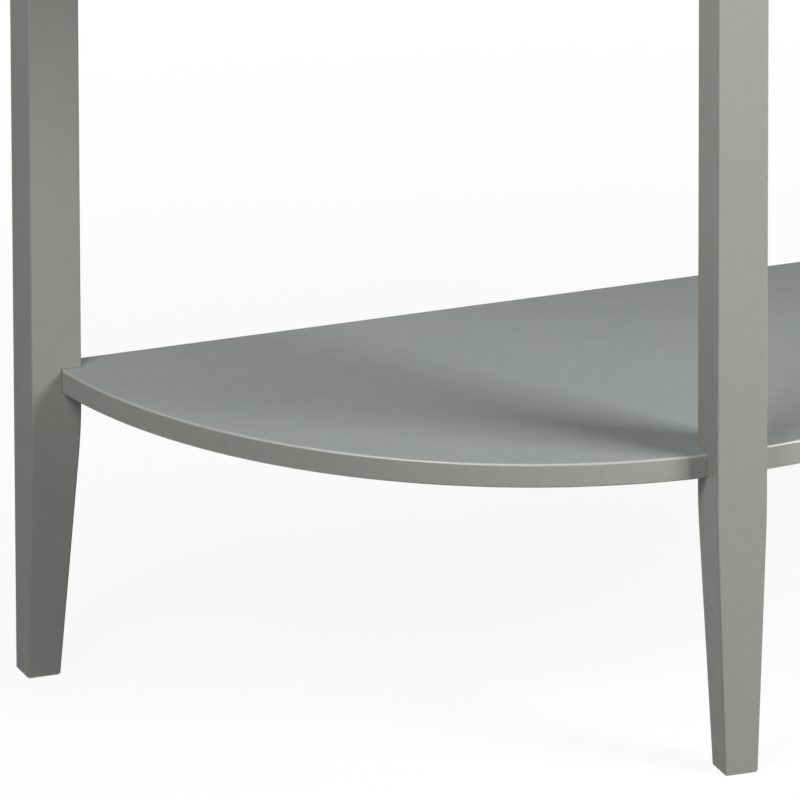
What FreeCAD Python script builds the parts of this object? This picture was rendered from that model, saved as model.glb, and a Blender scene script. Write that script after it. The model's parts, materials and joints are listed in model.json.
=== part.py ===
import FreeCAD, Part
import math
import os
from FreeCAD import Placement, Rotation, Vector

# Half-round (demilune) table: a half-round top on a bent apron, three tapered legs and a half-round shelf.
# Millimetres. +Z is up, the front is towards -Y and the wall side towards +Y.
# The origin is on the floor, under the middle of the top. The top, shelf and apron share one arc centre,
# which is the middle of the top's straight back edge.

# Top
TOP_RADIUS = 422.0
TOP_THICKNESS = 18.0
TABLE_HEIGHT = 760.0
OVERHANG = 19.0
TOP_CORNER_RADIUS = 5.0
TOP_CHAMFER = 1.5

# Legs: square stock, tapered below the shelf on the faces that look into the table
LEG = 38.0
FOOT = 25.0
TAPER_BELOW_SHELF = 26.0
TAPER_BLEND_RADIUS = 700.0
LEG_EASING = 1.6
FOOT_CHAMFER = 1.2

# Shelf, let into a housing in each leg
SHELF_TOP = 236.0
SHELF_THICKNESS = 18.0
SHELF_SETBACK = 18.5
SHELF_BACK_HOUSING = 19.0
SHELF_CHAMFER = 1.5
SHELF_UNDER_CHAMFER = 1.0
HOUSING_CLEARANCE = 0.4

# Apron: two bent quarters and a straight back rail
APRON_HEIGHT = 95.0
APRON_THICKNESS = 18.0
APRON_SETBACK = 10.0
APRON_CHAMFER = 1.0

# Blocks glued inside the apron
BLOCK_HEIGHT = 45.0
CORNER_BLOCK_THICKNESS = 25.0
CORNER_BLOCK_STANDOFF = 9.0
SADDLE_THICKNESS = 26.0
SADDLE_HALF_LENGTH = 82.0
SADDLE_SLOT_CLEARANCE = 0.3
GLUE_BLOCK = 26.0
GLUE_BLOCK_LENGTH = 50.0
GLUE_BLOCK_CHAMFER = 12.0
GLUE_BLOCK_ANGLE = 45.0

# Hanger bolts that hold the legs to the blocks
BOLT_DIAMETER = 8.0
BOLT_IN_LEG = 22.0
BOLT_HOLE_ROOM = 3.0
BOLT_PROUD_OF_NUT = 3.0
BOLT_CHAMFER = 0.8
BOLT_PILOT_CLEARANCE = 0.1
BOLT_HOLE_CLEARANCE = 1.0
BOLT_FLAT_DEPTH = 5.0
WASHER_DIAMETER = 16.0
WASHER_THICKNESS = 1.6
NUT_ACROSS_FLATS = 13.0
NUT_HEIGHT = 6.5
NUT_BORE_CLEARANCE = 0.1

# Wood screws
SCREW_DIAMETER = 4.0
SCREW_HEAD_DIAMETER = 7.5
SCREW_HOLE_CLEARANCE = 0.1
TOP_SCREW_BITE = 12.0
CORNER_TOP_SCREW_SHIFT = 20.0
SADDLE_TOP_SCREW_X = 44.0
SHELF_SCREW_BITE = 25.0

# Places worked out from the sizes above
BACK = TOP_RADIUS / 2
LEG_TOP = TABLE_HEIGHT - TOP_THICKNESS
LEG_REACH = TOP_RADIUS - OVERHANG
REAR_LEG_BACK = BACK - OVERHANG
REAR_LEG_FRONT = REAR_LEG_BACK - LEG
REAR_LEG_INNER = LEG_REACH - LEG
FRONT_LEG_FACE = BACK - LEG_REACH
FRONT_LEG_BACK = FRONT_LEG_FACE + LEG
SHELF_UNDERSIDE = SHELF_TOP - SHELF_THICKNESS
SHELF_RADIUS = LEG_REACH - SHELF_SETBACK
SHELF_FRONT = BACK - SHELF_RADIUS
SHELF_BACK = REAR_LEG_FRONT + SHELF_BACK_HOUSING
SHELF_END = math.sqrt(SHELF_RADIUS ** 2 - (BACK - REAR_LEG_FRONT) ** 2)
TAPER_START = SHELF_UNDERSIDE - TAPER_BELOW_SHELF
APRON_OUTER = LEG_REACH - APRON_SETBACK
APRON_INNER = APRON_OUTER - APRON_THICKNESS
APRON_BOTTOM = LEG_TOP - APRON_HEIGHT
RAIL_BACK = REAR_LEG_BACK - APRON_SETBACK
RAIL_FRONT = RAIL_BACK - APRON_THICKNESS
BLOCK_BOTTOM = LEG_TOP - BLOCK_HEIGHT
BLOCK_MIDDLE = LEG_TOP - BLOCK_HEIGHT / 2
SADDLE_BACK = BACK - APRON_INNER + SADDLE_THICKNESS
CORNER_BLOCK_BACK = CORNER_BLOCK_STANDOFF + CORNER_BLOCK_THICKNESS
CORNER_BLOCK_MID = CORNER_BLOCK_STANDOFF + CORNER_BLOCK_THICKNESS / 2
BOLT_HOLE_DEPTH = BOLT_IN_LEG + BOLT_HOLE_ROOM
TOP_SCREW_LENGTH = BLOCK_HEIGHT + TOP_SCREW_BITE
SHELF_SCREW_LENGTH = REAR_LEG_BACK - SHELF_BACK + SHELF_SCREW_BITE
FAR = 4 * TOP_RADIUS

UP = Vector(0, 0, 1)
LEFT = Vector(-1, 0, 0)
TO_FRONT = Vector(0, -1, 0)
TO_WALL = Vector(0, 1, 0)
ARC_CENTRE = Vector(0, BACK, 0)
LEG_CORNER = Vector(-REAR_LEG_INNER, REAR_LEG_FRONT, 0)
INWARD = Vector(math.sqrt(0.5), -math.sqrt(0.5), 0)
ACROSS = Vector(math.sqrt(0.5), math.sqrt(0.5), 0)


def at_height(point, z):
    """The point moved to height z."""
    return Vector(point.x, point.y, z)


def opposite(point):
    """The same point on the other side of the table."""
    return Vector(-point.x, point.y, point.z)


def mirrored(shape):
    """The same piece on the other side of the table."""
    return shape.mirror(Vector(0, 0, 0), LEFT)


def box(low, high):
    """A box between two opposite corners."""
    size = high - low
    return Part.makeBox(size.x, size.y, size.z, low)


def disc(radius, z_low, z_high):
    """A round slab about the common arc centre, its seam turned to the wall side."""
    slab = Part.makeCylinder(radius, z_high - z_low, at_height(ARC_CENTRE, z_low))
    slab.rotate(ARC_CENTRE, UP, 90)
    return slab


def rod(diameter, start, end):
    """A round bar between two points, to drill with."""
    along = end - start
    return Part.makeCylinder(diameter / 2, along.Length, start, along)


def turned(*profile):
    """A solid turned about Z from (radius, height) points."""
    points = [Vector(radius, 0, height) for radius, height in profile]
    return Part.Face(Part.makePolygon(points + points[:1])).revolve(Vector(0, 0, 0), UP, 360)


def aimed(shape, point, direction):
    """A shape made along +Z from the origin, moved to a point and turned to a direction."""
    moved = shape.copy()
    moved.Placement = Placement(point, Rotation(UP, direction))
    return moved


def level_edges(shape, height, longer_than=0):
    """The edges that lie in a level plane, if they are longer than this."""
    edges = []
    for edge in shape.Edges:
        bounds = edge.BoundBox
        if bounds.ZLength < 1e-6 and abs(bounds.ZMin - height) < 1e-6 and edge.Length > longer_than:
            edges.append(edge)
    return edges


def climbing_edges(shape):
    """The edges that are not level, such as the arrises of a leg."""
    return [edge for edge in shape.Edges if edge.BoundBox.ZLength > 1e-6]


# Boards


def table_top():
    """A semicircle whose straight edge looks to the wall."""
    front_half = box(Vector(-FAR, -FAR, LEG_TOP), Vector(FAR, BACK, TABLE_HEIGHT))
    board = disc(TOP_RADIUS, LEG_TOP, TABLE_HEIGHT).common(front_half)
    board = board.makeFillet(TOP_CORNER_RADIUS, climbing_edges(board))
    board = board.makeChamfer(TOP_CHAMFER, level_edges(board, LEG_TOP) + level_edges(board, TABLE_HEIGHT))
    return board.cut([screw_hole(start, UP, TOP_SCREW_LENGTH) for start in top_screw_starts()])


def lower_shelf():
    """A half-round board with short straight ends that fill the rear legs' housings."""
    within = box(Vector(-SHELF_END, -FAR, SHELF_UNDERSIDE), Vector(SHELF_END, SHELF_BACK, SHELF_TOP))
    board = disc(SHELF_RADIUS, SHELF_UNDERSIDE, SHELF_TOP).common(within)
    board = board.makeChamfer(SHELF_CHAMFER, level_edges(board, SHELF_TOP))
    board = board.makeChamfer(SHELF_UNDER_CHAMFER, level_edges(board, SHELF_UNDERSIDE))
    return board.cut([screw_hole(start, TO_FRONT, SHELF_SCREW_LENGTH) for start in shelf_screw_starts()])


# Legs


def in_xz(x, z):
    """A point of an outline seen from the front."""
    return Vector(x, 0, z)


def in_yz(y, z):
    """A point of an outline seen from the side."""
    return Vector(0, y, z)


def straight_side(place, face):
    """The edge down a side of a leg that is not tapered."""
    return [Part.makeLine(place(face, LEG_TOP), place(face, 0))]


def tapered_side(place, face, foot):
    """The edges down a tapered side: the straight face, a rounded shoulder, then the taper to the foot."""
    lean = math.atan((face - foot) / TAPER_START)
    reach = TAPER_BLEND_RADIUS * math.tan(abs(lean) / 2)
    bulge = TAPER_BLEND_RADIUS * (1 / math.cos(lean / 2) - 1)
    shoulder_top = place(face, TAPER_START + reach)
    shoulder_mid = place(face - math.copysign(bulge, lean) * math.cos(lean / 2),
                         TAPER_START + bulge * math.sin(abs(lean) / 2))
    shoulder_end = place(face - reach * math.sin(lean), TAPER_START - reach * math.cos(lean))
    return [Part.makeLine(place(face, LEG_TOP), shoulder_top),
            Part.Arc(shoulder_top, shoulder_mid, shoulder_end).toShape(),
            Part.makeLine(shoulder_end, place(foot, 0))]


def swept_outline(side, other_side, through):
    """A leg's outline as seen square on, swept right through the leg."""
    top = Part.makeLine(other_side[0].firstVertex().Point, side[0].firstVertex().Point)
    bottom = Part.makeLine(side[-1].lastVertex().Point, other_side[-1].lastVertex().Point)
    outline = Part.Face(Part.Wire([top, *side, bottom, *reversed(other_side)]))
    outline.translate(through * -FAR)
    return outline.extrude(through * (2 * FAR))


def leg_blank(seen_from_front, seen_from_side):
    """A leg from its two outlines, its arrises eased and its foot chamfered."""
    blank = seen_from_front.common(seen_from_side)
    blank = blank.makeFillet(LEG_EASING, climbing_edges(blank))
    return blank.makeChamfer(FOOT_CHAMFER, level_edges(blank, 0))


def bolt_pilot(start, out, _):
    """The blind hole in a leg for the hanger bolt of this line."""
    return rod(BOLT_DIAMETER + BOLT_PILOT_CLEARANCE, start, start - out * BOLT_HOLE_DEPTH)


def rear_leg():
    """The left rear leg: outer and back faces straight, the two inner faces tapered."""
    from_front = swept_outline(straight_side(in_xz, -LEG_REACH),
                               tapered_side(in_xz, -REAR_LEG_INNER, -LEG_REACH + FOOT), TO_WALL)
    from_side = swept_outline(straight_side(in_yz, REAR_LEG_BACK),
                              tapered_side(in_yz, REAR_LEG_FRONT, REAR_LEG_BACK - FOOT), LEFT)
    housing = box(Vector(-SHELF_END - HOUSING_CLEARANCE, -FAR, SHELF_UNDERSIDE),
                  Vector(0, SHELF_BACK + HOUSING_CLEARANCE, SHELF_TOP + HOUSING_CLEARANCE))
    bolt_flat = slanted_strip(-BOLT_FLAT_DEPTH, CORNER_BLOCK_STANDOFF, BLOCK_BOTTOM, LEG_TOP)
    cuts = [housing, bolt_flat, bolt_pilot(*corner_bolt_line())]
    cuts += countersunk_hole(shelf_screw_starts()[0], TO_FRONT, SHELF_SCREW_LENGTH)
    return leg_blank(from_front, from_side).cut(cuts)


def front_leg():
    """The middle leg: its front face straight, its sides and back tapered."""
    from_front = swept_outline(tapered_side(in_xz, -LEG / 2, -FOOT / 2),
                               tapered_side(in_xz, LEG / 2, FOOT / 2), TO_WALL)
    from_side = swept_outline(straight_side(in_yz, FRONT_LEG_FACE),
                              tapered_side(in_yz, FRONT_LEG_BACK, FRONT_LEG_FACE + FOOT), LEFT)
    housing = box(Vector(-LEG, SHELF_FRONT - HOUSING_CLEARANCE, SHELF_UNDERSIDE),
                  Vector(LEG, FAR, SHELF_TOP + HOUSING_CLEARANCE))
    return leg_blank(from_front, from_side).cut([housing, bolt_pilot(*saddle_bolt_line())])


# Apron


def apron_quarter():
    """The left bent apron, its ends cut square to the front leg's side and the rear leg's front."""
    ring = disc(APRON_OUTER, APRON_BOTTOM, LEG_TOP).cut(disc(APRON_INNER, APRON_BOTTOM, LEG_TOP))
    left_front = box(Vector(-FAR, -FAR, APRON_BOTTOM), Vector(-LEG / 2, REAR_LEG_FRONT, LEG_TOP))
    bent = ring.common(left_front)
    return bent.makeChamfer(APRON_CHAMFER, level_edges(bent, APRON_BOTTOM, 2 * APRON_THICKNESS))


def back_rail():
    """The straight rail between the rear legs."""
    rail = box(Vector(-REAR_LEG_INNER, RAIL_FRONT, APRON_BOTTOM), Vector(REAR_LEG_INNER, RAIL_BACK, LEG_TOP))
    return rail.makeChamfer(APRON_CHAMFER, level_edges(rail, APRON_BOTTOM, 2 * APRON_THICKNESS))


# Blocks


def slanted_strip(near, far, z_low, z_high):
    """A level strip across the left rear corner, between two distances from the leg's inner arris."""
    strip = Part.makeBox(far - near, 2 * TOP_RADIUS, z_high - z_low, Vector(near, -TOP_RADIUS, z_low))
    strip.rotate(Vector(0, 0, 0), UP, -45)
    strip.translate(LEG_CORNER)
    return strip


def bolt_hole(start, out, reach):
    """The through hole in a block for a hanger bolt."""
    return rod(BOLT_DIAMETER + BOLT_HOLE_CLEARANCE, start, start + out * (reach + NUT_HEIGHT))


def corner_block():
    """The left rear block, wedged across the corner between the back rail and the bent apron."""
    strip = slanted_strip(CORNER_BLOCK_STANDOFF, CORNER_BLOCK_BACK, BLOCK_BOTTOM, LEG_TOP)
    in_front_of_rail = box(Vector(-FAR, -FAR, BLOCK_BOTTOM), Vector(0, RAIL_FRONT, LEG_TOP))
    block = strip.common(in_front_of_rail).common(disc(APRON_INNER, BLOCK_BOTTOM, LEG_TOP))
    screw = countersunk_hole(corner_top_screw_start(), UP, TOP_SCREW_LENGTH)
    return block.cut([bolt_hole(*corner_bolt_line()), *screw])


def saddle_block():
    """The front block: a curved face glued to both bent aprons, a slot for the leg, a flat back."""
    plank = box(Vector(-SADDLE_HALF_LENGTH, -FAR, BLOCK_BOTTOM),
                Vector(SADDLE_HALF_LENGTH, SADDLE_BACK, LEG_TOP))
    slot_half = LEG / 2 + SADDLE_SLOT_CLEARANCE
    slot = box(Vector(-slot_half, -FAR, BLOCK_BOTTOM), Vector(slot_half, FRONT_LEG_BACK, LEG_TOP))
    cuts = [slot, bolt_hole(*saddle_bolt_line())]
    for start in [saddle_top_screw_start(), opposite(saddle_top_screw_start())]:
        cuts += countersunk_hole(start, UP, TOP_SCREW_LENGTH)
    return plank.common(disc(APRON_INNER, BLOCK_BOTTOM, LEG_TOP)).cut(cuts)


def glue_block(outer_face):
    """A short block along X whose outer face is at this y, its lower inner edge cut away."""
    half = GLUE_BLOCK_LENGTH / 2
    outside = Vector(-half, outer_face, LEG_TOP)
    across = Vector(0, math.copysign(GLUE_BLOCK, -outer_face), 0)
    down = Vector(0, 0, -GLUE_BLOCK)
    kept = 1 - GLUE_BLOCK_CHAMFER / GLUE_BLOCK
    corners = [outside, outside + down, outside + down + across * kept, outside + down * kept + across,
               outside + across]
    return Part.Face(Part.makePolygon(corners + corners[:1])).extrude(Vector(GLUE_BLOCK_LENGTH, 0, 0))


def side_glue_block():
    """The glue block on the left bent apron, its outer face curved to lie on the apron."""
    block = glue_block(BACK - APRON_INNER)
    block.rotate(ARC_CENTRE, UP, -GLUE_BLOCK_ANGLE)
    return block.common(disc(APRON_INNER, LEG_TOP - GLUE_BLOCK, LEG_TOP))


# Hanger bolts


def corner_bolt_line():
    """Where the left corner bolt leaves its leg, the way out, and how far off the block's back is."""
    start = at_height(LEG_CORNER - INWARD * BOLT_FLAT_DEPTH, BLOCK_MIDDLE)
    return start, INWARD, BOLT_FLAT_DEPTH + CORNER_BLOCK_BACK


def saddle_bolt_line():
    """The same for the bolt of the front leg."""
    return Vector(0, FRONT_LEG_BACK, BLOCK_MIDDLE), TO_WALL, SADDLE_BACK - FRONT_LEG_BACK


def bolt_lines():
    """The lines of all the bolts."""
    start, out, reach = corner_bolt_line()
    return [(start, out, reach), (opposite(start), opposite(out), reach), saddle_bolt_line()]


def hanger_bolts():
    """Headless bolts, one end in the leg and the other through the block."""
    radius = BOLT_DIAMETER / 2
    bolts = []
    for start, out, reach in bolt_lines():
        length = BOLT_IN_LEG + reach + WASHER_THICKNESS + NUT_HEIGHT + BOLT_PROUD_OF_NUT
        bolt = turned((0, 0), (radius, 0), (radius, length - BOLT_CHAMFER), (radius - BOLT_CHAMFER, length),
                      (0, length))
        bolts.append(aimed(bolt, start - out * BOLT_IN_LEG, out))
    return bolts


def washers():
    """A flat washer on each bolt, against the back of the block."""
    inner = (BOLT_DIAMETER + BOLT_HOLE_CLEARANCE) / 2
    outer = WASHER_DIAMETER / 2
    washer = turned((inner, 0), (outer, 0), (outer, WASHER_THICKNESS), (inner, WASHER_THICKNESS))
    return [aimed(washer, start + out * reach, out) for start, out, reach in bolt_lines()]


def nuts():
    """A hexagon nut on each washer."""
    corner = Vector(NUT_ACROSS_FLATS / math.sqrt(3), 0, 0)
    corners = [Rotation(UP, turn).multVec(corner) for turn in range(0, 360, 60)]
    hexagon = Part.Face(Part.makePolygon(corners + corners[:1])).extrude(UP * NUT_HEIGHT)
    nut = hexagon.cut(Part.makeCylinder((BOLT_DIAMETER + NUT_BORE_CLEARANCE) / 2, NUT_HEIGHT))
    return [aimed(nut, start + out * (reach + WASHER_THICKNESS), out) for start, out, reach in bolt_lines()]


# Wood screws


def screw_hole(start, direction, length):
    """The hole for a screw's shank."""
    return rod(SCREW_DIAMETER + SCREW_HOLE_CLEARANCE, start, start + direction * length)


def countersunk_hole(start, direction, length):
    """A screw's hole with room for its flat head at the start."""
    shank = (SCREW_DIAMETER + SCREW_HOLE_CLEARANCE) / 2
    head = (SCREW_HEAD_DIAMETER + SCREW_HOLE_CLEARANCE) / 2
    return [screw_hole(start, direction, length), Part.makeCone(head, shank, head - shank, start, direction)]


def flat_head_screw(length):
    """A countersunk screw along +Z, its head's flat face at z = 0."""
    head = SCREW_HEAD_DIAMETER / 2
    shank = SCREW_DIAMETER / 2
    return turned((0, 0), (head, 0), (shank, head - shank), (shank, length), (0, length))


def corner_top_screw_start():
    """The upright screw of the left corner block, set over towards the rail."""
    middle = LEG_CORNER + INWARD * CORNER_BLOCK_MID + ACROSS * CORNER_TOP_SCREW_SHIFT
    return at_height(middle, BLOCK_BOTTOM)


def saddle_top_screw_start():
    """The left upright screw of the front block."""
    return Vector(-SADDLE_TOP_SCREW_X, SADDLE_BACK - SADDLE_THICKNESS / 2, BLOCK_BOTTOM)


def top_screw_starts():
    """Where the upright screws go into the undersides of the blocks."""
    left = [corner_top_screw_start(), saddle_top_screw_start()]
    return left + [opposite(start) for start in left]


def top_screws():
    """Screws up through the blocks into the top."""
    return [aimed(flat_head_screw(TOP_SCREW_LENGTH), start, UP) for start in top_screw_starts()]


def shelf_screw_starts():
    """Where the shelf's screws go into the backs of the rear legs: left, then right."""
    middle_of_end = (REAR_LEG_INNER + SHELF_END) / 2
    left = Vector(-middle_of_end, REAR_LEG_BACK, SHELF_TOP - SHELF_THICKNESS / 2)
    return [left, opposite(left)]


def shelf_screws():
    """Screws through the rear legs, from the wall side, into the shelf's back edge."""
    return [aimed(flat_head_screw(SHELF_SCREW_LENGTH), start, TO_FRONT) for start in shelf_screw_starts()]


def main():
    """Make every piece and write one file for each node."""
    left_leg = rear_leg()
    left_apron = apron_quarter()
    left_corner_block = corner_block()
    left_glue_block = side_glue_block()
    nodes = {
        "table_top": table_top(),
        "lower_shelf": lower_shelf(),
        "leg_front": front_leg(),
        "leg_rear_left": left_leg,
        "leg_rear_right": mirrored(left_leg),
        "apron_left": left_apron,
        "apron_right": mirrored(left_apron),
        "back_rail": back_rail(),
        "saddle_block": saddle_block(),
        "corner_block_left": left_corner_block,
        "corner_block_right": mirrored(left_corner_block),
        "glue_block_left": left_glue_block,
        "glue_block_right": mirrored(left_glue_block),
        "glue_block_back": glue_block(RAIL_FRONT),
        "hanger_bolts": Part.makeCompound(hanger_bolts()),
        "washers": Part.makeCompound(washers()),
        "nuts": Part.makeCompound(nuts()),
        "top_screws": Part.makeCompound(top_screws()),
        "shelf_screws": Part.makeCompound(shelf_screws()),
    }
    os.makedirs("parts", exist_ok=True)
    for name, shape in nodes.items():
        shape.exportStep("parts/" + name + ".step")


main()
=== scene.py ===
import json
import math

import bmesh
import bpy
from bpy.props import FloatProperty, FloatVectorProperty, IntProperty, PointerProperty
from mathutils import Matrix, Vector


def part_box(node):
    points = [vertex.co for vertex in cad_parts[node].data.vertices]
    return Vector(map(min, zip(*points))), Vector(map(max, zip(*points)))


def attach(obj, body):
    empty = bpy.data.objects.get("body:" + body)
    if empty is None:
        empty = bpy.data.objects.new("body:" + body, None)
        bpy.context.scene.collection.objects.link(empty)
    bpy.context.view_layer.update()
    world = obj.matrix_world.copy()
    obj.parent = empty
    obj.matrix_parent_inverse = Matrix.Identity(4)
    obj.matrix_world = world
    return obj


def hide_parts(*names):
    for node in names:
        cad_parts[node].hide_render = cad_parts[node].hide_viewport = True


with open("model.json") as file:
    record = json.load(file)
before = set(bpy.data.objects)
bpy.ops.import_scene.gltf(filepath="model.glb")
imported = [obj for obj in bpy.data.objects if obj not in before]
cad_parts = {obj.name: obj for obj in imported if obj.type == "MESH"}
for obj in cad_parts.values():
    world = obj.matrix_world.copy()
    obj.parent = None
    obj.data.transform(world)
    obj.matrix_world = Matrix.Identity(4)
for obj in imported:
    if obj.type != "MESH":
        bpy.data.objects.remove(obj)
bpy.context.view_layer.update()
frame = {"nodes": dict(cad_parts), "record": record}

bl_info = {
    "name": "Half-round table",
    "version": (1, 0, 0),
    "blender": (4, 5, 0),
    "location": "View3D > Sidebar > Table",
    "description": "Dresses the packed half-round table: boards, finishes, hardware and stage",
    "category": "Object",
}

IMAGE_SIDE = 800
SENSOR = 36.0

UP = Vector((0, 0, 1))
TO_WALL = Vector((0, 1, 0))
TO_FRONT = Vector((0, -1, 0))

# Places read from the frame. The top, shelf and apron share one arc centre, in the middle of the top's back edge.
TOP_LOW, TOP_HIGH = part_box("table_top")
SHELF_LOW, SHELF_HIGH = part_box("lower_shelf")
ARC_CENTRE = Vector((0, TOP_HIGH.y))
SLOT_COLOURS = {material["slot"]: material["base_color"] for material in frame["record"]["materials"]}

# How the raised grain is drawn out along the boards, the legs and the bent aprons
BOARD_GRAIN = (0.25, 1, 1)
LEG_GRAIN = (1, 1, 0.04)
APRON_GRAIN = (0.06, 0.06, 1)

# How finely round forms are divided
ROUND_STEPS = 48
CORNER_STEPS = 8
ROUNDING_STEPS = 4
THREAD_STEPS = 24
THREAD_RINGS_PER_TURN = 8
SHARP_ANGLE = math.radians(35)
SAME_POINT = 1e-6


# Settings that a user would change


class BoardSettings(bpy.types.PropertyGroup):
    top_corner: FloatProperty(name="Top corner", description="Radius of the top's two back corners",
                              default=0.005, unit="LENGTH")
    top_edge: FloatProperty(name="Top edge", description="Rounding of the top's edges under the paint",
                            default=0.0016, unit="LENGTH")
    shelf_edge: FloatProperty(name="Shelf edge", description="Rounding of the shelf's edges under the paint",
                              default=0.0018, unit="LENGTH")
    arc_steps: IntProperty(name="Arc steps", description="Straight steps along a board's long arc", default=180)


class PaintSettings(bpy.types.PropertyGroup):
    colour: FloatVectorProperty(name="Paint", description="Colour of the satin paint", subtype="COLOR",
                                default=SLOT_COLOURS["paint"])
    # Painted shade: how the paint's colour is made darker and cooler on level faces, for how the light falls on
    # them
    level_shade_tint: FloatVectorProperty(name="Level tint", description="How the paint's colour differs where it dried "
                                    "lying level", default=(0.895, 0.965, 1.02))
    # Painted light: how much lighter the paint is made on the boards' edges, for how the light falls on them
    board_edge_light: FloatProperty(name="Board edge", description="How much lighter the paint is on the boards' edges",
                              default=1.16)
    # Colour where worn paint shows the undercoat on an arris, and of the painted highlight along the boards'
    # rounded edges
    primer: FloatVectorProperty(name="Primer", description="Colour where the paint is thin on an arris",
                                subtype="COLOR", default=(0.53, 0.54, 0.53))
    roughness: FloatProperty(name="Roughness", description="Mean roughness of the paint", default=0.5,
                             subtype="FACTOR")
    level_roughness: FloatProperty(name="Level roughness", description="Mean roughness where it dried lying level",
                                   default=0.75, subtype="FACTOR")
    gloss: FloatProperty(name="Gloss", description="How strongly the paint reflects", default=0.08,
                         subtype="FACTOR")
    cloud_size: FloatProperty(name="Cloud size", description="Size of the broad, faint changes of tone",
                              default=0.09, unit="LENGTH")
    mottle_size: FloatProperty(name="Mottle size", description="Size of the small changes of tone",
                               default=0.006, unit="LENGTH")
    peel_size: FloatProperty(name="Orange peel size", description="Size of the sprayed surface's ripple",
                             default=0.0013, unit="LENGTH")
    peel: FloatProperty(name="Orange peel", description="Depth of that ripple", default=0.00002, unit="LENGTH")
    fibre_size: FloatProperty(name="Raised grain size", description="Width of the grain that shows in the paint",
                              default=0.0012, unit="LENGTH")
    fibre: FloatProperty(name="Raised grain", description="Depth of that grain", default=0.00002, unit="LENGTH")
    # Width of the worn and polished band along an arris
    arris_width: FloatProperty(name="Arris width", description="Width of the thin paint along an arris",
                               default=0.0015, unit="LENGTH")
    # How much undercoat shows on the arrises, and how strong the painted highlight is along the boards' rounded
    # edges
    wear_and_highlight: FloatProperty(name="Wear", description="How much primer shows on the arrises", default=0.45,
                        subtype="FACTOR")
    burnish: FloatProperty(name="Burnish", description="How far hands have polished the arrises", default=0.9,
                           subtype="FACTOR")
    burnish_roughness: FloatProperty(name="Burnish roughness", description="Roughness of the polished arrises",
                                     default=0.36, subtype="FACTOR")
    burnish_ior: FloatProperty(name="Burnish IOR", description="Refraction index of the polished arrises",
                               default=1.65)


class WoodSettings(bpy.types.PropertyGroup):
    early: FloatVectorProperty(name="Early wood", description="Pale part of each growth ring", subtype="COLOR",
                               default=(0.6, 0.44, 0.27))
    late: FloatVectorProperty(name="Late wood", description="Dark part of each growth ring", subtype="COLOR",
                              default=(0.4, 0.26, 0.14))
    ring: FloatProperty(name="Ring", description="Distance between growth rings", default=0.0035, unit="LENGTH")
    ring_drift: FloatProperty(name="Ring drift", description="How far the rings wander", default=0.02,
                              unit="LENGTH")
    drift_size: FloatProperty(name="Drift size", description="Size of those wanderings", default=0.03,
                              unit="LENGTH")
    fibre_size: FloatProperty(name="Fibre size", description="Width of the fibres", default=0.0006, unit="LENGTH")
    fibre: FloatProperty(name="Fibre", description="Depth of the fibres", default=0.00008, unit="LENGTH")
    saw_mark: FloatProperty(name="Saw mark", description="Distance between saw marks", default=0.0022,
                            unit="LENGTH")
    saw_depth: FloatProperty(name="Saw depth", description="Depth of the saw marks", default=0.00005,
                             unit="LENGTH")
    saw_drift: FloatProperty(name="Saw drift", description="How far the saw marks wander", default=0.003,
                             unit="LENGTH")
    saw_drift_size: FloatProperty(name="Saw drift size", description="Size of those wanderings", default=0.02,
                                  unit="LENGTH")
    arris_width: FloatProperty(name="Arris width", description="Width of the fuzz along an arris", default=0.0012,
                               unit="LENGTH")


class ZincSettings(bpy.types.PropertyGroup):
    colour: FloatVectorProperty(name="Zinc", description="Colour of the zinc plating", subtype="COLOR",
                                default=SLOT_COLOURS["zinc"])
    bloom: FloatVectorProperty(name="Bloom", description="Colour of the plating's dull patches", subtype="COLOR",
                               default=(0.5, 0.52, 0.54))
    patch_size: FloatProperty(name="Patch size", description="Size of the dull patches", default=0.002,
                              unit="LENGTH")
    scratch_size: FloatProperty(name="Scratch size", description="Width of the scratches", default=0.00025,
                                unit="LENGTH")
    relief: FloatProperty(name="Relief", description="Depth of the patches and scratches", default=0.000004,
                          unit="LENGTH")
    edge_width: FloatProperty(name="Edge width", description="Width of the bright edges", default=0.0004,
                              unit="LENGTH")


class HardwareSettings(bpy.types.PropertyGroup):
    thread_pitch: FloatProperty(name="Thread pitch", description="Pitch of the hanger bolts' machine thread",
                                default=0.00125, unit="LENGTH")
    thread_depth: FloatProperty(name="Thread depth", description="Depth of that thread", default=0.0007,
                                unit="LENGTH")
    bolt_in_leg: FloatProperty(name="Bolt in leg", description="Length of the bolts' wood end, inside the legs",
                               default=0.022, unit="LENGTH")
    nut_turned: FloatProperty(name="Nut turning", description="Width of a nut's round faces as a share of its "
                              "width across flats", default=0.95, subtype="FACTOR")
    nut_lead: FloatProperty(name="Nut lead", description="Width of a nut's bore at its faces as a share of "
                            "the bore", default=1.12)
    head_land: FloatProperty(name="Head land", description="Height of the upright rim of a screw's head",
                             default=0.0004, unit="LENGTH")
    screw_tip: FloatProperty(name="Screw tip", description="Width of a screw's tip as a share of its shank",
                             default=0.15, subtype="FACTOR")
    recess_width: FloatProperty(name="Recess width", description="Width of the arms of a screw's cross recess",
                                default=0.0011, unit="LENGTH")
    recess_reach: FloatProperty(name="Recess reach", description="Reach of those arms from the middle",
                                default=0.0023, unit="LENGTH")
    recess_depth: FloatProperty(name="Recess depth", description="Depth of the cross recess", default=0.002,
                                unit="LENGTH")
    recess_floor: FloatProperty(name="Recess floor", description="Width of the recess's floor as a share of its "
                                "mouth", default=0.45, subtype="FACTOR")


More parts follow.
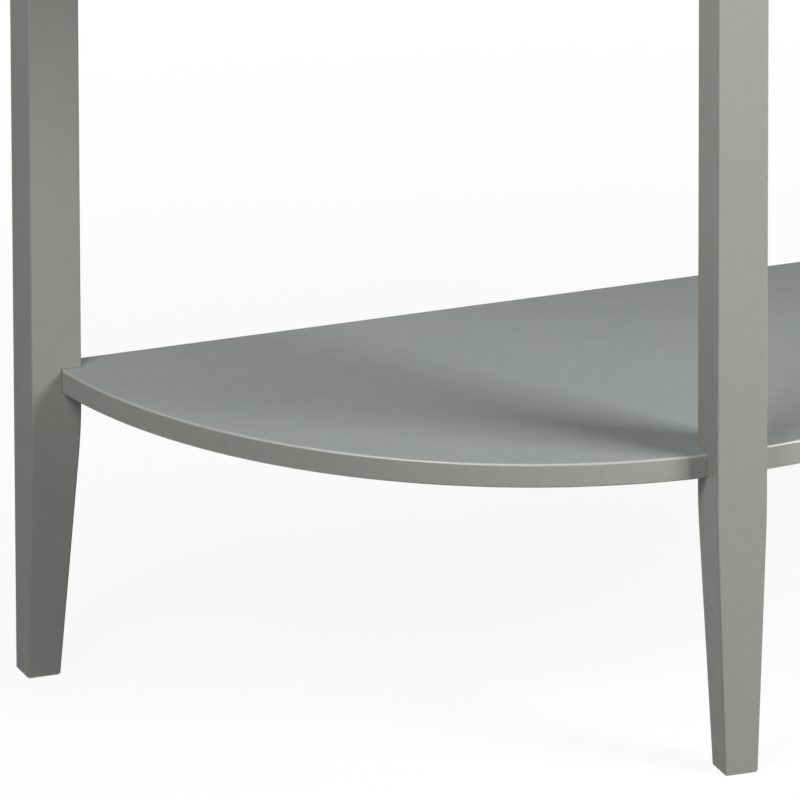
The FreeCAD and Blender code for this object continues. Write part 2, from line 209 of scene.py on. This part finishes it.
class StageSettings(bpy.types.PropertyGroup):
    turn: FloatProperty(name="Turn", description="How far the camera looks to the right of straight on",
                        default=math.radians(20.924), subtype="ANGLE")
    tilt: FloatProperty(name="Tilt", description="How far the camera looks down", default=math.radians(20.21),
                        subtype="ANGLE")
    roll: FloatProperty(name="Roll", description="How far the camera leans", default=math.radians(-0.173),
                        subtype="ANGLE")
    aim: FloatVectorProperty(name="Aim", description="The point in the middle of the picture",
                             default=(-0.1894, -0.017, 0.246), subtype="TRANSLATION")
    distance: FloatProperty(name="Distance", description="From the camera to that point", default=15.2,
                            unit="LENGTH")
    focal_pixels: FloatProperty(name="Focal length", description="The lens, in pixels of the picture",
                                default=21620)
    ambient: FloatProperty(name="Ambient", description="Strength of the even light from all round", default=0.04)
    light_distance: FloatProperty(name="Light distance", description="From the soft lights to the shelf",
                                  default=2.4, unit="LENGTH")
    key: FloatProperty(name="Key", description="Power of the soft light at the front right", default=58,
                       unit="POWER")
    key_turn: FloatProperty(name="Key turn", description="How far to the right of the front that light stands",
                            default=math.radians(40), subtype="ANGLE")
    key_rise: FloatProperty(name="Key rise", description="How high that light stands",
                            default=math.radians(33), subtype="ANGLE")
    key_side: FloatProperty(name="Key side", description="Width of that light", default=0.85, unit="LENGTH")
    key_colour: FloatVectorProperty(name="Key colour", description="Colour of that light", subtype="COLOR",
                                    default=(1, 0.975, 0.94))
    fill: FloatProperty(name="Fill", description="Power of the soft light above the front left", default=36,
                        unit="POWER")
    fill_turn: FloatProperty(name="Fill turn", description="How far to the right of the front that light stands",
                             default=math.radians(-52), subtype="ANGLE")
    fill_rise: FloatProperty(name="Fill rise", description="How high that light stands",
                             default=math.radians(43), subtype="ANGLE")
    fill_side: FloatProperty(name="Fill side", description="Width of that light", default=1.2, unit="LENGTH")
    fill_colour: FloatVectorProperty(name="Fill colour", description="Colour of that light", subtype="COLOR",
                                     default=(1, 0.985, 0.95))
    rear: FloatProperty(name="Rear", description="Power of the low soft light behind the table", default=34,
                        unit="POWER")
    rear_rise: FloatProperty(name="Rear rise", description="How high that light stands",
                             default=math.radians(-12), subtype="ANGLE")
    under: FloatProperty(name="Under", description="Power of the soft light from below, which stands for the light "
                         "that a pale floor throws back under the table", default=10, unit="POWER")
    low_side: FloatProperty(name="Low side", description="Width of the lights behind and below", default=1.6,
                            unit="LENGTH")
    low_colour: FloatVectorProperty(name="Low colour", description="Colour of the lights behind and below",
                                    subtype="COLOR", default=(1, 1, 1))
    floor: FloatVectorProperty(name="Floor", description="Colour of the pale floor", subtype="COLOR",
                               default=(0.95, 0.95, 0.95))
    bounce: FloatVectorProperty(name="Bounce", description="Colour of the light that the floor throws back",
                                subtype="COLOR", default=(0.04, 0.04, 0.04))
    floor_radius: FloatProperty(name="Floor radius", description="How far the floor reaches", default=40,
                                unit="LENGTH")
    floor_gap: FloatProperty(name="Floor gap", description="How far the floor lies below the feet",
                             default=0.0002, unit="LENGTH")
    floor_grain: FloatProperty(name="Floor grain", description="Size of the floor's faint grain", default=0.004,
                               unit="LENGTH")
    shadow: FloatProperty(name="Shadow", description="How much of the object's shadow the white floor shows",
                          default=0.09, subtype="FACTOR")
    shadow_near: FloatProperty(name="Shadow near", description="Where the shadow starts to fade, from the middle",
                               default=0.6, unit="LENGTH")
    shadow_far: FloatProperty(name="Shadow far", description="Where the shadow has faded", default=1.6,
                              unit="LENGTH")


# Shader maths


class Value:
    """A value that changes over a surface: one socket, with arithmetic that adds Math nodes."""

    def __init__(self, graph, socket):
        self.graph = graph
        self.socket = socket

    def __add__(self, other):
        return self.graph.math("ADD", self, other)

    __radd__ = __add__

    def __sub__(self, other):
        return self.graph.math("SUBTRACT", self, other)

    def __rsub__(self, other):
        return self.graph.math("SUBTRACT", other, self)

    def __mul__(self, other):
        return self.graph.math("MULTIPLY", self, other)

    __rmul__ = __mul__

    def __truediv__(self, other):
        return self.graph.math("DIVIDE", self, other)


class Graph:
    """The nodes of one material or of the world."""

    def __init__(self, tree):
        self.tree = tree

    def node(self, kind, settings, sockets, output=0):
        """Any node: its settings first, then the values or links of its sockets. Gives one of its outputs."""
        made = self.tree.nodes.new(kind)
        for name, setting in settings.items():
            setattr(made, name, setting)
        for key, value in sockets.items():
            self.feed(made.inputs[key], value)
        return Value(self, made.outputs[output])

    def feed(self, socket, value):
        """Links a value to a socket, or sets a constant on it."""
        if isinstance(value, Value):
            self.tree.links.new(value.socket, socket)
        else:
            socket.default_value = value

    def math(self, operation, first, second=0.0):
        """One Math node."""
        return self.node("ShaderNodeMath", {"operation": operation}, {0: first, 1: second})

    def mix(self, share, low, high):
        """A colour between two colours."""
        return self.node("ShaderNodeMix", {"data_type": "RGBA"},
                         {0: share, 6: opaque(low), 7: opaque(high)}, 2)

    def band(self, value, low, high):
        """0 below one value, 1 above the other, smooth between."""
        return self.node("ShaderNodeMapRange", {"interpolation_type": "SMOOTHSTEP"},
                         {"Value": value, "From Min": low, "From Max": high})

    def part(self, vector, axis):
        """One coordinate of a vector."""
        return self.node("ShaderNodeSeparateXYZ", {}, {0: vector}, axis)

    def place(self, turn=0.0, stretch=(1, 1, 1)):
        """Where a point is on the table, turned about the vertical and then stretched."""
        plain = self.node("ShaderNodeTexCoord", {}, {}, "Object")
        turned = self.node("ShaderNodeVectorRotate", {"rotation_type": "Z_AXIS"}, {"Vector": plain, "Angle": turn})
        return self.node("ShaderNodeVectorMath", {"operation": "MULTIPLY"}, {0: turned, 1: stretch})

    def noise(self, place, size, detail):
        """Even noise from 0 to 1 whose features are about this size."""
        return self.node("ShaderNodeTexNoise", {}, {"Vector": place, "Scale": 0.5 / size, "Detail": detail})

    def normal(self):
        """The way that the surface faces."""
        return self.node("ShaderNodeNewGeometry", {}, {}, "Normal")

    def rise(self):
        """1 where the surface faces up, 0 where it is upright, -1 where it faces down."""
        return self.part(self.normal(), "Z")

    def lean(self):
        """1 where a surface is neither level nor upright, as on the rounded edge of a board."""
        slope = self.math("ABSOLUTE", self.rise())
        return self.band(slope, 0.1, 0.3) * (1 - self.band(slope, 0.9, 0.99))

    def arris(self, width):
        """Near 1 on a sharp edge of the piece and 0 further from it than this width."""
        eased = self.node("ShaderNodeBevel", {"samples": 4}, {"Radius": width})
        alike = self.node("ShaderNodeVectorMath", {"operation": "DOT_PRODUCT"},
                          {0: eased, 1: self.normal()}, "Value")
        return self.band(1 - alike, 0.02, 0.25)

    def relief(self, height):
        """The normal of a surface that rises by this height, in metres."""
        return self.node("ShaderNodeBump", {}, {"Strength": 1.0, "Distance": 1.0, "Height": height})


class Finish(Graph):
    """A material with one surface shader."""

    def __init__(self, name):
        self.material = bpy.data.materials.new(name)
        self.material.use_nodes = True
        super().__init__(self.material.node_tree)
        self.shader = self.tree.nodes["Principled BSDF"]

    def surface(self, **sockets):
        """Sets or links the shader's sockets, named with underscores for spaces, and gives the material."""
        for name, value in sockets.items():
            self.feed(self.shader.inputs[name.replace("_", " ").title().replace("Ior", "IOR")], value)
        return self.material


def opaque(colour):
    """A colour with its alpha, or a value as it is."""
    return colour if isinstance(colour, Value) else (*colour, 1.0)


def shade(colour, share):
    """A darker or lighter version of a colour."""
    return [channel * share for channel in colour]


# Finishes


def satin_paint(name, settings, grain, upright=1.0):
    """Sprayed satin paint: a faint ripple, the grain a little raised, the paint worn on the arrises and polished
    there by hands.

    Upright faces are made as much lighter as the last value says, which is painted light. Level faces take a
    darker, cooler copy of the colour, which is painted shade. The rounded edges of the boards take a painted
    highlight in the undercoat's colour."""
    paint = Finish(name)
    place = paint.place()
    clouds = paint.noise(place, settings.cloud_size, 3)
    mottle = paint.noise(place, settings.mottle_size, 2)
    ripple = paint.noise(place, settings.peel_size, 1)
    fibre = paint.noise(paint.place(stretch=grain), settings.fibre_size, 3)
    patch = paint.band(mottle + 0.6 * clouds, 0.7, 1.05)
    arris, lean = paint.arris(settings.arris_width), paint.lean()
    edge = paint.math("MAXIMUM", arris, lean)
    # The arrises show worn paint; the boards' rounded edges take a painted highlight in the same colour
    thin_and_highlit = paint.math("MAXIMUM", arris * patch, lean * (0.5 + 0.5 * patch))
    # Painted shade on level faces and painted light on the other faces, for how the light falls on them
    level = paint.band(paint.rise(), 0.8, 0.99)
    level_shaded_colour = [channel * tint for channel, tint in zip(settings.colour, settings.level_shade_tint)]
    body = paint.mix(level, shade(settings.colour, upright), level_shaded_colour)
    body = paint.mix(0.2 * clouds, body, shade(settings.colour, 1.5))
    body = paint.mix(0.15 * mottle + 0.13 * ripple, body, shade(settings.colour, 0.5))
    matt = settings.roughness + (settings.level_roughness - settings.roughness) * level
    return paint.surface(
        base_color=paint.mix(settings.wear_and_highlight * thin_and_highlit, body, settings.primer),
        roughness=matt - 0.05 + 0.07 * mottle + 0.05 * clouds + 0.1 * thin_and_highlit,
        specular_ior_level=settings.gloss,
        coat_weight=settings.burnish * edge,
        coat_roughness=settings.burnish_roughness,
        coat_ior=settings.burnish_ior,
        normal=paint.relief(settings.peel * ripple + settings.fibre * fibre),
    )


def sawn_wood(name, settings, turn):
    """Sawn, unfinished wood whose grain runs along X before the turn: rings, fibres and saw marks."""
    wood = Finish(name)
    place = wood.place(turn)
    along, across, up = [wood.part(place, axis) for axis in "XYZ"]
    drift = wood.noise(wood.place(turn, (0.15, 1, 1)), settings.drift_size, 3)
    ring = wood.math("PINGPONG", (across * 0.8 + up * 0.6 + drift * settings.ring_drift) / settings.ring, 1.0)
    fibre = wood.noise(wood.place(turn, (0.04, 1, 1)), settings.fibre_size, 2)
    wander = wood.noise(place, settings.saw_drift_size, 2)
    mark = wood.math("PINGPONG", (along + across * 0.18 + wander * settings.saw_drift) / settings.saw_mark, 1.0)
    late = wood.band(ring + 0.35 * fibre, 0.75, 1.15)
    colour = wood.mix(late, settings.early, settings.late)
    colour = wood.mix(0.35 * fibre, colour, shade(settings.late, 0.85))
    fuzzy = wood.arris(settings.arris_width)
    return wood.surface(
        base_color=wood.mix(0.5 * fuzzy, colour, shade(settings.early, 1.15)),
        roughness=0.62 + 0.2 * fibre - 0.06 * late,
        normal=wood.relief(settings.saw_depth * mark + settings.fibre * fibre),
    )


def zinc_plate(name, settings):
    """Zinc plating: dull patches, fine scratches, bright edges."""
    zinc = Finish(name)
    patch = zinc.noise(zinc.place(), settings.patch_size, 3)
    scratch = zinc.noise(zinc.place(stretch=(1, 0.08, 1)), settings.scratch_size, 2)
    edge = zinc.arris(settings.edge_width)
    colour = zinc.mix(zinc.band(patch, 0.45, 0.7), settings.colour, settings.bloom)
    return zinc.surface(
        base_color=zinc.mix(0.6 * edge, colour, shade(settings.colour, 1.25)),
        metallic=1.0,
        roughness=0.3 + 0.16 * patch + 0.06 * scratch - 0.08 * edge,
        normal=zinc.relief(settings.relief * (scratch + patch)),
    )


# Pieces


def add_object(name, data):
    """An object in the scene."""
    made = bpy.data.objects.new(name, data)
    bpy.context.scene.collection.objects.link(made)
    return made


def as_mesh(name, shape):
    """A mesh from a bmesh, which is freed."""
    mesh = bpy.data.meshes.new(name)
    shape.to_mesh(mesh)
    shape.free()
    return mesh


def piece(name, shape, material, slot, *nodes):
    """A finished piece from a bmesh: it stands for CAD nodes, rides on the table and takes the finish it is given.
    """
    bmesh.ops.recalc_face_normals(shape, faces=shape.faces)
    mesh = as_mesh(name, shape)
    mesh.materials.append(material)
    mesh.shade_smooth()
    mesh.set_sharp_from_angle(angle=SHARP_ANGLE)
    made = add_object(name, mesh)
    made.modifiers.new("flat faces stay flat", "WEIGHTED_NORMAL").keep_sharp = True
    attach(made, "root")
    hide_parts(*nodes)


def dress(material, *nodes):
    """Gives CAD nodes a finish."""
    for node in nodes:
        frame["nodes"][node].material_slots[0].material = material


# Boards


def arc(centre, radius, start, end, steps):
    """Points on a level arc, angles anticlockwise from +X."""
    angles = [start + (end - start) * step / steps for step in range(steps + 1)]
    return [centre + radius * Vector((math.cos(angle), math.sin(angle))) for angle in angles]


def top_outline(settings):
    """The top from above, anticlockwise: a half circle with its two corners rounded."""
    radius = TOP_HIGH.y - TOP_LOW.y
    corner = settings.top_corner
    corner_x = math.sqrt((radius - corner) ** 2 - corner ** 2)
    lean = math.asin(corner / (radius - corner))
    left = arc(Vector((-corner_x, ARC_CENTRE.y - corner)), corner, math.pi / 2, math.pi + lean, CORNER_STEPS)
    front = arc(ARC_CENTRE, radius, math.pi + lean, 2 * math.pi - lean, settings.arc_steps)
    right = arc(Vector((corner_x, ARC_CENTRE.y - corner)), corner, -lean, math.pi / 2, CORNER_STEPS)
    return left + front[1:-1] + right


def shelf_outline(settings):
    """The shelf from above, anticlockwise: an arc, short straight ends and a straight back."""
    radius = ARC_CENTRE.y - SHELF_LOW.y
    lean = math.acos(SHELF_HIGH.x / radius)
    front = arc(ARC_CENTRE, radius, math.pi + lean, 2 * math.pi - lean, settings.arc_steps)
    return front + [SHELF_HIGH.xy, Vector((SHELF_LOW.x, SHELF_HIGH.y))]


def board(outline, low, high, rounding):
    """A board with this outline, its upper and lower edges rounded."""
    shape = bmesh.new()
    under = shape.faces.new([shape.verts.new((point.x, point.y, low)) for point in outline])
    raised = bmesh.ops.extrude_face_region(shape, geom=[under])["geom"]
    bmesh.ops.translate(shape, verts=[v for v in raised if isinstance(v, bmesh.types.BMVert)],
                        vec=UP * (high - low))
    level = [edge for edge in shape.edges if edge.verts[0].co.z == edge.verts[1].co.z]
    bmesh.ops.bevel(shape, geom=level, offset=rounding, segments=ROUNDING_STEPS, profile=0.5, affect="EDGES")
    return shape


# Hardware


def ring(place, aim, radius, height, steps=ROUND_STEPS):
    """A ring of points round an axis, this far along it. The radius and height may depend on the angle."""
    side = aim.orthogonal().normalized()
    other = aim.cross(side)
    points = []
    for step in range(steps):
        angle = 2 * math.pi * step / steps
        reach = radius(angle) if callable(radius) else radius
        rise = height(angle) if callable(height) else height
        points.append(place + aim * rise + (side * math.cos(angle) + other * math.sin(angle)) * reach)
    return points


def skin(shape, rings, closed=False):
    """Faces between rings of points. The ends are capped, or the last ring is joined to the first."""
    loops = [[shape.verts.new(point) for point in points] for points in rings]
    following = loops[1:] + loops[:1] if closed else loops[1:]
    for low, high in zip(loops, following):
        for here in range(len(low)):
            after = (here + 1) % len(low)
            shape.faces.new((low[here], low[after], high[after], high[here]))
    if not closed:
        shape.faces.new(reversed(loops[0]))
        shape.faces.new(loops[-1])


class Round:
    """A round CAD solid, measured: its start on its axis, length, outer radius, bore and radius at its far end."""

    def __init__(self, points, aim):
        heights = [point.dot(aim) for point in points]
        flat = [point - aim * height for point, height in zip(points, heights)]
        middle = Vector((min(axis) + max(axis)) / 2 for axis in zip(*flat))
        reaches = [(point - middle).length for point in flat]
        end = max(heights)
        self.aim = aim
        self.start = middle + aim * min(heights)
        self.length = end - min(heights)
        self.radius = max(reaches)
        self.bore = min(reaches)
        self.end_radius = max(reach for reach, height in zip(reaches, heights) if height > end - SAME_POINT)


def solids(node):
    """The corners of each separate solid of a CAD node, from left to right."""
    shape = bmesh.new()
    shape.from_mesh(frame["nodes"][node].data)
    bmesh.ops.remove_doubles(shape, verts=shape.verts, dist=SAME_POINT)
    found = []
    waiting = set(shape.verts)
    while waiting:
        reached = [waiting.pop()]
        for vert in reached:
            near = {edge.other_vert(vert) for edge in vert.link_edges} & waiting
            waiting -= near
            reached.extend(near)
        found.append([vert.co.copy() for vert in reached])
    shape.free()
    return sorted(found, key=lambda points: min(point.x for point in points))


def bolt_aims():
    """The ways that the left, front and right hanger bolts point out of their legs."""
    return Vector((1, -1, 0)).normalized(), TO_WALL, Vector((-1, -1, 0)).normalized()


def threaded_bolt(shape, bolt, settings):
    """A hanger bolt: its plain wood end inside the leg, then a machine thread to a chamfered tip."""
    pitch = settings.thread_pitch
    core = bolt.radius - settings.thread_depth
    rings = [ring(bolt.start, bolt.aim, core, height, THREAD_STEPS) for height in (0, settings.bolt_in_leg)]
    count = int((bolt.length - settings.bolt_in_leg) / pitch * THREAD_RINGS_PER_TURN)
    for step in range(1, count + 1):
        height = settings.bolt_in_leg + step * pitch / THREAD_RINGS_PER_TURN
        crest = min(bolt.radius, core + bolt.length - height)

        def radius(angle):
            wave = abs(((height / pitch - angle / (2 * math.pi)) % 1) * 2 - 1)
            return core + (crest - core) * wave

        rings.append(ring(bolt.start, bolt.aim, radius, height, THREAD_STEPS))
    skin(shape, rings)


def flat_washer(shape, washer):
    """A stamped washer with its outer edges a little rounded."""
    edge = washer.length / 4
    profile = [
        (washer.bore, 0),
        (washer.radius - edge, 0),
        (washer.radius, edge),
        (washer.radius, washer.length - edge),
        (washer.radius - edge, washer.length),
        (washer.bore, washer.length),
    ]
    skin(shape, [ring(washer.start, washer.aim, radius, height) for radius, height in profile], closed=True)


def hexagon_nut(shape, nut, settings):
    """A hexagon nut whose corners are turned off by a cone at both faces."""
    apothem = nut.radius * math.cos(math.pi / 6)
    turned = apothem * settings.nut_turned
    lead = nut.bore * settings.nut_lead

    def across(angle):
        return apothem / math.cos((angle + math.pi / 6) % (math.pi / 3) - math.pi / 6)

    def near(angle):
        return (across(angle) - turned) * math.tan(math.pi / 6)

    def far(angle):
        return nut.length - near(angle)

    profile = [
        (nut.bore, lead - nut.bore),
        (lead, 0),
        (turned, 0),
        (across, near),
        (across, far),
        (turned, nut.length),
        (lead, nut.length),
        (nut.bore, nut.length - lead + nut.bore),
    ]
    skin(shape, [ring(nut.start, nut.aim, radius, height) for radius, height in profile], closed=True)


def wood_screw(screw, settings):
    """A countersunk wood screw: a flat head with a small land, a cone, the shank and a point."""
    land = settings.head_land
    shank = screw.end_radius
    profile = [
        (screw.radius - land / 2, 0),
        (screw.radius, land / 2),
        (screw.radius, land),
        (shank, land + screw.radius - shank),
        (shank, screw.length - 2 * shank),
        (shank * settings.screw_tip, screw.length),
    ]
    shape = bmesh.new()
    skin(shape, [ring(screw.start, screw.aim, radius, height) for radius, height in profile])
    bmesh.ops.recalc_face_normals(shape, faces=shape.faces)
    return shape


def cross_recess(screw, settings):
    """The tapered cross that a driver's tip fills, from just outside the screw's head to the recess's floor."""
    arm = settings.recess_reach
    half = settings.recess_width / 2
    quarter = [(arm, -half), (arm, half), (half, half)]
    side = screw.aim.orthogonal().normalized()
    other = screw.aim.cross(side)
    corners = []
    for cos, sin in ((1, 0), (0, 1), (-1, 0), (0, -1)):
        corners += [(x * cos - y * sin, x * sin + y * cos) for x, y in quarter]
    rings = []
    for sunk in (-0.15, 1):
        centre = screw.start + screw.aim * settings.recess_depth * sunk
        share = 1 - (1 - settings.recess_floor) * sunk
        rings.append([centre + (side * x + other * y) * share for x, y in corners])
    shape = bmesh.new()
    skin(shape, rings)
    bmesh.ops.recalc_face_normals(shape, faces=shape.faces)
    return shape


def cut_away(body, cutter):
    """One bmesh less another, as a mesh."""
    whole = add_object("whole", as_mesh("whole", body))
    tool = add_object("tool", as_mesh("tool", cutter))
    boolean = whole.modifiers.new("cut", "BOOLEAN")
    boolean.operation = "DIFFERENCE"
    boolean.solver = "EXACT"
    boolean.object = tool
    cut = whole.evaluated_get(bpy.context.evaluated_depsgraph_get())
    mesh = bpy.data.meshes.new_from_object(cut)
    for passing in (whole, tool):
        data = passing.data
        bpy.data.objects.remove(passing)
        bpy.data.meshes.remove(data)
    return mesh


def recessed_screws(name, node, aim, zinc, settings):
    """All the screws of a node, each with a cross recess in its head."""
    together = bmesh.new()
    for points in solids(node):
        screw = Round(points, aim)
        mesh = cut_away(wood_screw(screw, settings), cross_recess(screw, settings))
        together.from_mesh(mesh)
        bpy.data.meshes.remove(mesh)
    piece(name, together, zinc, "zinc", node)


# Stage


def seen(graph):
    """1 for a ray that shows the background itself: from the camera, a reflection or a glass."""
    camera, glossy, through = [graph.node("ShaderNodeLightPath", {}, {}, kind)
                               for kind in ("Is Camera Ray", "Is Glossy Ray", "Is Transmission Ray")]
    return graph.math("MINIMUM", camera + glossy + through, 1.0)


def pale_floor(settings):
    """A wide floor that looks white with the table's shadow on it. Views and light from below pass through it."""
    finish = Finish("pale_floor")
    place = finish.place()
    shown = seen(finish)
    away = finish.node("ShaderNodeVectorMath", {"operation": "LENGTH"}, {0: place}, "Value")
    near = 1 - finish.band(away, settings.shadow_near, settings.shadow_far)
    grain = finish.noise(place, settings.floor_grain, 3)
    pale = finish.mix(grain, shade(settings.floor, 0.99), settings.floor)
    material = finish.surface(base_color=finish.mix(shown, settings.bounce, pale), roughness=0.7)
    lit = Value(finish, finish.shader.outputs[0])
    white = finish.node("ShaderNodeEmission", {}, {"Color": (1, 1, 1, 1), "Strength": 1.0})
    upper = finish.node("ShaderNodeMixShader", {}, {0: shown * (1 - settings.shadow * near), 1: lit, 2: white})
    clear = finish.node("ShaderNodeBsdfTransparent", {}, {})
    from_below = finish.node("ShaderNodeNewGeometry", {}, {}, "Backfacing")
    to_light = finish.node("ShaderNodeLightPath", {}, {}, "Is Shadow Ray")
    open_side = finish.math("MAXIMUM", from_below, to_light)
    finish.feed(finish.tree.nodes["Material Output"].inputs["Surface"],
                finish.node("ShaderNodeMixShader", {}, {0: open_side, 1: upper, 2: clear}))
    shape = bmesh.new()
    bmesh.ops.create_circle(shape, cap_ends=True, segments=2 * ROUND_STEPS, radius=settings.floor_radius)
    mesh = as_mesh("floor", shape)
    mesh.materials.append(material)
    floor = add_object("floor", mesh)
    floor.location.z = -settings.floor_gap


def white_surround(scene, settings):
    """A world that looks white and lights the table evenly but less strongly."""
    scene.world = bpy.data.worlds.new("white_surround")
    scene.world.use_nodes = True
    graph = Graph(scene.world.node_tree)
    background = graph.tree.nodes["Background"]
    background.inputs["Color"].default_value = (1, 1, 1, 1)
    graph.feed(background.inputs["Strength"], settings.ambient + seen(graph) * (1 - settings.ambient))


def light_place(turn, rise, distance):
    """A place this far from the middle of the shelf, turned to the right of the front and raised."""
    level = Vector((math.sin(turn), -math.cos(turn), 0))
    return UP * SHELF_HIGH.z + (level * math.cos(rise) + UP * math.sin(rise)) * distance


def soft_light(name, power, colour, side, place, mirrored=True):
    """A square soft light that looks at the middle of the table, with or without its reflection in the paint."""
    light = bpy.data.lights.new(name, "AREA")
    light.energy = power
    light.color = colour
    light.size = side
    made = add_object(name, light)
    made.location = place
    middle = UP * (TOP_HIGH.z / 2)
    made.rotation_euler = (middle - place).to_track_quat("-Z", "Y").to_euler()
    made.visible_camera = False
    made.visible_glossy = mirrored


def photograph_camera(scene, settings):
    """A camera at the photograph's viewing angle."""
    camera = bpy.data.cameras.new("camera")
    camera.sensor_width = SENSOR
    camera.lens = settings.focal_pixels * SENSOR / IMAGE_SIDE
    camera.clip_end = 4 * settings.distance
    level = Vector((math.sin(settings.turn), math.cos(settings.turn), 0))
    ahead = level * math.cos(settings.tilt) - UP * math.sin(settings.tilt)
    made = add_object("camera", camera)
    made.location = Vector(settings.aim) - ahead * settings.distance
    turned = ahead.to_track_quat("-Z", "Y").to_matrix().to_4x4()
    made.rotation_euler = (turned @ Matrix.Rotation(settings.roll, 4, "Z")).to_euler()
    scene.camera = made


# Operators


class TABLE_OT_boards(bpy.types.Operator):
    """Make the half-round top and shelf"""

    bl_idname = "table.boards"
    bl_label = "Top and shelf"

    def execute(self, context):
        sizes = context.scene.table_boards
        finish = context.scene.table_paint
        # The boards' edges are made lighter by this setting, which is painted light
        paint = satin_paint("board_paint", finish, BOARD_GRAIN, finish.board_edge_light)
        top = board(top_outline(sizes), TOP_LOW.z, TOP_HIGH.z, sizes.top_edge)
        piece("top_board", top, paint, "paint", "table_top")
        shelf = board(shelf_outline(sizes), SHELF_LOW.z, SHELF_HIGH.z, sizes.shelf_edge)
        piece("shelf_board", shelf, paint, "paint", "lower_shelf")
        return {"FINISHED"}


class TABLE_OT_legs(bpy.types.Operator):
    """Paint the three legs"""

    bl_idname = "table.legs"
    bl_label = "Legs"

    def execute(self, context):
        paint = satin_paint("leg_paint", context.scene.table_paint, LEG_GRAIN)
        dress(paint, "leg_front", "leg_rear_left", "leg_rear_right")
        return {"FINISHED"}


class TABLE_OT_apron(bpy.types.Operator):
    """Paint the bent aprons and the back rail"""

    bl_idname = "table.apron"
    bl_label = "Apron"

    def execute(self, context):
        paint = satin_paint("apron_paint", context.scene.table_paint, APRON_GRAIN)
        dress(paint, "apron_left", "apron_right", "back_rail")
        return {"FINISHED"}


class TABLE_OT_blocks(bpy.types.Operator):
    """Give the blocks inside the apron their sawn wood, the grain along each block"""

    bl_idname = "table.blocks"
    bl_label = "Blocks"

    def execute(self, context):
        settings = context.scene.table_wood
        eighth = math.radians(45)
        dress(sawn_wood("straight_wood", settings, 0), "saddle_block", "glue_block_back")
        dress(sawn_wood("left_slanted_wood", settings, -eighth), "corner_block_left", "glue_block_right")
        dress(sawn_wood("right_slanted_wood", settings, eighth), "corner_block_right", "glue_block_left")
        return {"FINISHED"}


class TABLE_OT_hanger_bolts(bpy.types.Operator):
    """Make the threaded hanger bolts with their washers and nuts"""

    bl_idname = "table.hanger_bolts"
    bl_label = "Hanger bolts"

    def execute(self, context):
        settings = context.scene.table_hardware
        zinc = zinc_plate("bolt_zinc", context.scene.table_zinc)
        bolts, washers, nuts = bmesh.new(), bmesh.new(), bmesh.new()
        for points, aim in zip(solids("hanger_bolts"), bolt_aims()):
            threaded_bolt(bolts, Round(points, aim), settings)
        for points, aim in zip(solids("washers"), bolt_aims()):
            flat_washer(washers, Round(points, aim))
        for points, aim in zip(solids("nuts"), bolt_aims()):
            hexagon_nut(nuts, Round(points, aim), settings)
        piece("threaded_bolts", bolts, zinc, "zinc", "hanger_bolts")
        piece("flat_washers", washers, zinc, "zinc", "washers")
        piece("hexagon_nuts", nuts, zinc, "zinc", "nuts")
        return {"FINISHED"}


class TABLE_OT_wood_screws(bpy.types.Operator):
    """Make the countersunk screws of the top and the shelf"""

    bl_idname = "table.wood_screws"
    bl_label = "Wood screws"

    def execute(self, context):
        settings = context.scene.table_hardware
        zinc = zinc_plate("screw_zinc", context.scene.table_zinc)
        recessed_screws("top_wood_screws", "top_screws", UP, zinc, settings)
        recessed_screws("shelf_wood_screws", "shelf_screws", TO_FRONT, zinc, settings)
        return {"FINISHED"}


class TABLE_OT_stage(bpy.types.Operator):
    """Set the floor, the light and the camera"""

    bl_idname = "table.stage"
    bl_label = "Stage"

    def execute(self, context):
        settings = context.scene.table_stage
        distance = settings.light_distance
        context.scene.view_settings.view_transform = "Standard"
        pale_floor(settings)
        white_surround(context.scene, settings)
        soft_light("key_light", settings.key, settings.key_colour, settings.key_side,
                   light_place(settings.key_turn, settings.key_rise, distance))
        soft_light("fill_light", settings.fill, settings.fill_colour, settings.fill_side,
                   light_place(settings.fill_turn, settings.fill_rise, distance))
        soft_light("rear_light", settings.rear, settings.low_colour, settings.low_side,
                   light_place(math.pi, settings.rear_rise, distance), mirrored=False)
        soft_light("under_light", settings.under, settings.low_colour, settings.low_side,
                   light_place(0, -math.pi / 2, distance), mirrored=False)
        photograph_camera(context.scene, settings)
        return {"FINISHED"}


# Panel and registration


OPERATORS = (
    TABLE_OT_boards,
    TABLE_OT_legs,
    TABLE_OT_apron,
    TABLE_OT_blocks,
    TABLE_OT_hanger_bolts,
    TABLE_OT_wood_screws,
    TABLE_OT_stage,
)
SETTINGS = {
    "table_boards": BoardSettings,
    "table_paint": PaintSettings,
    "table_wood": WoodSettings,
    "table_zinc": ZincSettings,
    "table_hardware": HardwareSettings,
    "table_stage": StageSettings,
}


class TABLE_PT_panel(bpy.types.Panel):
    """The table's pieces and settings"""

    bl_idname = "TABLE_PT_panel"
    bl_label = "Half-round table"
    bl_space_type = "VIEW_3D"
    bl_region_type = "UI"
    bl_category = "Table"

    def draw(self, context):
        for operator in OPERATORS:
            self.layout.operator(operator.bl_idname)
        for name, group in SETTINGS.items():
            box = self.layout.box()
            for setting in group.__annotations__:
                box.prop(getattr(context.scene, name), setting)


def register():
    for name, group in SETTINGS.items():
        bpy.utils.register_class(group)
        setattr(bpy.types.Scene, name, PointerProperty(type=group))
    for operator in OPERATORS:
        bpy.utils.register_class(operator)
    bpy.utils.register_class(TABLE_PT_panel)


def unregister():
    bpy.utils.unregister_class(TABLE_PT_panel)
    for operator in reversed(OPERATORS):
        bpy.utils.unregister_class(operator)
    for name, group in SETTINGS.items():
        delattr(bpy.types.Scene, name)
        bpy.utils.unregister_class(group)


def main():
    """Build every piece in order."""
    register()
    bpy.ops.table.boards()
    bpy.ops.table.legs()
    bpy.ops.table.apron()
    bpy.ops.table.blocks()
    bpy.ops.table.hanger_bolts()
    bpy.ops.table.wood_screws()
    bpy.ops.table.stage()


if __name__ == "__main__":
    main()
